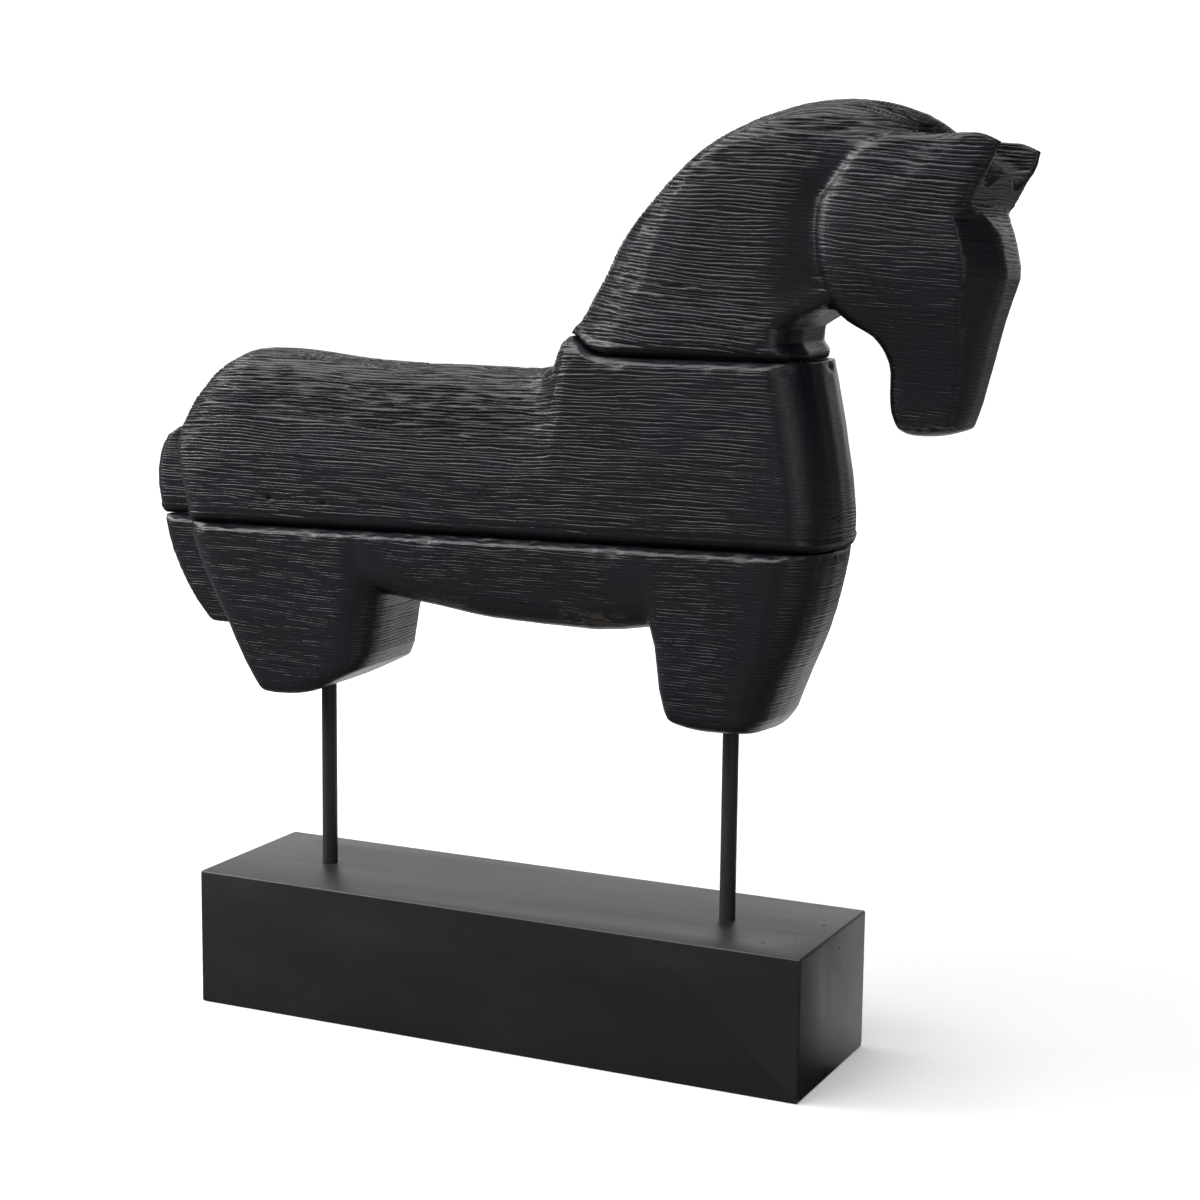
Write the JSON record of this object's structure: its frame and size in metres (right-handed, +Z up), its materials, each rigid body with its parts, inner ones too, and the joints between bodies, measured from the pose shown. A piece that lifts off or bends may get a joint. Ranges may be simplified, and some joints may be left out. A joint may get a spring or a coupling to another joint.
{
  "type": "carved horse figurine on a plinth",
  "caption": "Carved black wooden horse made of stacked blocks with V-grooved joints, held above a rectangular wooden plinth by upright steel rods.",
  "frame": {"origin": "middle of the plinth's underside, on the surface that it stands on", "axes": "+Z up, +X towards the horse's head along the plinth, +Y across the plinth, to the horse's left"},
  "size_m": [0.4933, 0.098, 0.4964],
  "materials": {
    "horse_wood": "satin black paint over tool-grooved carving",
    "plinth_wood": "satin black paint with faint lengthwise grain",
    "rod_steel": "satin black paint",
    "dowel_wood": "bare beech, glued in",
    "bolt_steel": "zinc plated"
  },
  "bodies": {
    "root": {"legs_and_belly_block": "horse_wood", "torso_block": "horse_wood", "neck_and_head_block": "horse_wood", "lower_joint_rear_dowel": "dowel_wood", "lower_joint_front_dowel": "dowel_wood", "upper_joint_rear_dowel": "dowel_wood", "upper_joint_front_dowel": "dowel_wood", "rear_rod": "rod_steel", "front_rod": "rod_steel", "rear_rod_bolt": "bolt_steel", "front_rod_bolt": "bolt_steel", "rear_rod_washer": "bolt_steel", "front_rod_washer": "bolt_steel", "plinth_front_board": "plinth_wood", "plinth_rear_board": "plinth_wood"}
  },
  "joints": []
}
